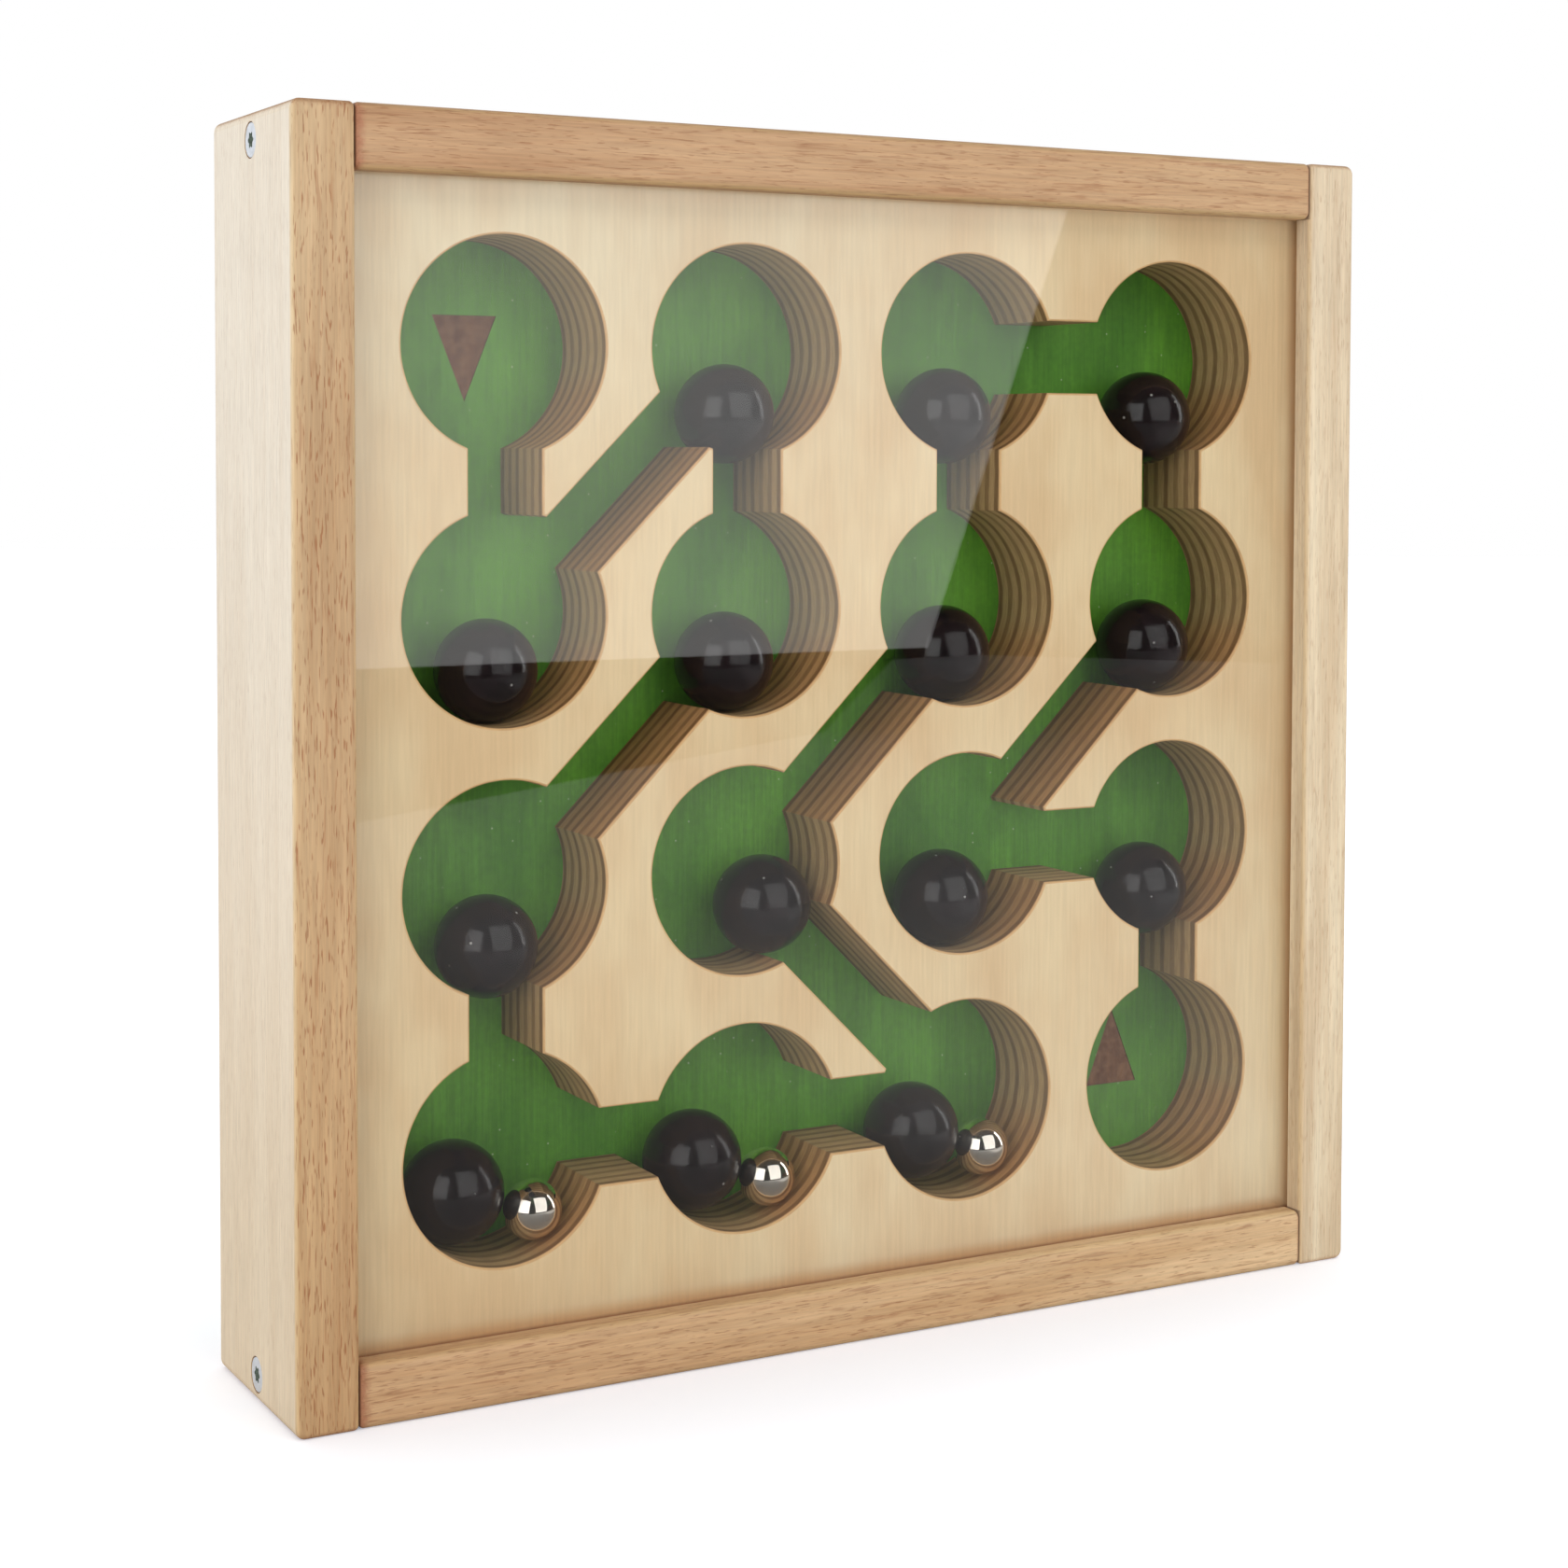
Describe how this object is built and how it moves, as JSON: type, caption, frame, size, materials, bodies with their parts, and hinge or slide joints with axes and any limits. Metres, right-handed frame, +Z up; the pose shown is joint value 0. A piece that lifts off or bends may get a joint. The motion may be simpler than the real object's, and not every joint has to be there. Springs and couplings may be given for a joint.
{
  "type": "wooden ball maze puzzle",
  "caption": "Wooden framed tilt maze: a clear window over a thick board of round chambers joined by channels, with loose black and steel balls.",
  "frame": {"origin": "on the ground, under the middle of the frame", "axes": "-Y is the front with the window, +X to the right seen from the front, +Z up"},
  "size_m": [0.29, 0.056, 0.29],
  "materials": {
    "beech_light": "oiled beech, pale",
    "beech": "oiled beech, warmer",
    "clear_acrylic": "clear, polished",
    "birch_plywood": "sanded birch plywood, cut edges darkened",
    "green_stain": "green stained, matt, with two burnt marks",
    "zinc_steel": "bright zinc plate",
    "black_lacquer": "black, satin",
    "polished_steel": "mirror polished"
  },
  "bodies": {
    "case": {"left_stile": "beech_light", "right_stile": "beech_light", "top_rail": "beech", "bottom_rail": "beech", "window": "clear_acrylic", "maze_board": "birch_plywood", "back_panel": "green_stain", "screw_top_left": "zinc_steel", "screw_top_right": "zinc_steel", "screw_bottom_left": "zinc_steel", "screw_bottom_right": "zinc_steel"},
    "black_ball_1_2": {"black_ball_1_2": "black_lacquer"},
    "black_ball_1_3": {"black_ball_1_3": "black_lacquer"},
    "black_ball_1_4": {"black_ball_1_4": "black_lacquer"},
    "black_ball_2_1": {"black_ball_2_1": "black_lacquer"},
    "black_ball_2_2": {"black_ball_2_2": "black_lacquer"},
    "black_ball_2_3": {"black_ball_2_3": "black_lacquer"},
    "black_ball_2_4": {"black_ball_2_4": "black_lacquer"},
    "black_ball_3_1": {"black_ball_3_1": "black_lacquer"},
    "black_ball_3_2": {"black_ball_3_2": "black_lacquer"},
    "black_ball_3_3": {"black_ball_3_3": "black_lacquer"},
    "black_ball_3_4": {"black_ball_3_4": "black_lacquer"},
    "black_ball_4_1": {"black_ball_4_1": "black_lacquer"},
    "black_ball_4_2": {"black_ball_4_2": "black_lacquer"},
    "black_ball_4_3": {"black_ball_4_3": "black_lacquer"},
    "steel_ball_4_1": {"steel_ball_4_1": "polished_steel"},
    "steel_ball_4_2": {"steel_ball_4_2": "polished_steel"},
    "steel_ball_4_3": {"steel_ball_4_3": "polished_steel"}
  },
  "joints": [
    {"name": "black_ball_1_2_roll", "type": "slide", "parent": "case", "child": "black_ball_1_2", "axis": [0, 0, 1], "range_m": [0, 0.0274]},
    {"name": "black_ball_1_3_roll", "type": "slide", "parent": "case", "child": "black_ball_1_3", "axis": [0, 0, 1], "range_m": [0, 0.0274]},
    {"name": "black_ball_1_4_roll", "type": "slide", "parent": "case", "child": "black_ball_1_4", "axis": [0, 0, 1], "range_m": [0, 0.0274]},
    {"name": "black_ball_2_1_roll", "type": "slide", "parent": "case", "child": "black_ball_2_1", "axis": [0, 0, 1], "range_m": [0, 0.02515]},
    {"name": "black_ball_2_2_roll", "type": "slide", "parent": "case", "child": "black_ball_2_2", "axis": [0, 0, 1], "range_m": [0, 0.02515]},
    {"name": "black_ball_2_3_roll", "type": "slide", "parent": "case", "child": "black_ball_2_3", "axis": [0, 0, 1], "range_m": [0, 0.02515]},
    {"name": "black_ball_2_4_roll", "type": "slide", "parent": "case", "child": "black_ball_2_4", "axis": [0, 0, 1], "range_m": [0, 0.02515]},
    {"name": "black_ball_3_1_roll", "type": "slide", "parent": "case", "child": "black_ball_3_1", "axis": [0, 0, 1], "range_m": [0, 0.0274]},
    {"name": "black_ball_3_2_roll", "type": "slide", "parent": "case", "child": "black_ball_3_2", "axis": [-0.7071, 0, 0.7071], "range_m": [0, 0.0274]},
    {"name": "black_ball_3_3_roll", "type": "slide", "parent": "case", "child": "black_ball_3_3", "axis": [0, 0, 1], "range_m": [0, 0.02515]},
    {"name": "black_ball_3_4_roll", "type": "slide", "parent": "case", "child": "black_ball_3_4", "axis": [0, 0, 1], "range_m": [0, 0.0274]},
    {"name": "black_ball_4_1_roll", "type": "slide", "parent": "case", "child": "black_ball_4_1", "axis": [0, 0, 1], "range_m": [0, 0.01865]},
    {"name": "black_ball_4_2_roll", "type": "slide", "parent": "case", "child": "black_ball_4_2", "axis": [0, 0, 1], "range_m": [0, 0.01865]},
    {"name": "black_ball_4_3_roll", "type": "slide", "parent": "case", "child": "black_ball_4_3", "axis": [0, 0, 1], "range_m": [0, 0.01865]},
    {"name": "steel_ball_4_1_roll", "type": "slide", "parent": "case", "child": "steel_ball_4_1", "axis": [0.5191, 0, 0.8547], "range_m": [0, 0.01925]},
    {"name": "steel_ball_4_2_roll", "type": "slide", "parent": "case", "child": "steel_ball_4_2", "axis": [0.5191, 0, 0.8547], "range_m": [0, 0.01925]},
    {"name": "steel_ball_4_3_roll", "type": "slide", "parent": "case", "child": "steel_ball_4_3", "axis": [0.5191, 0, 0.8547], "range_m": [0, 0.01525]}
  ]
}
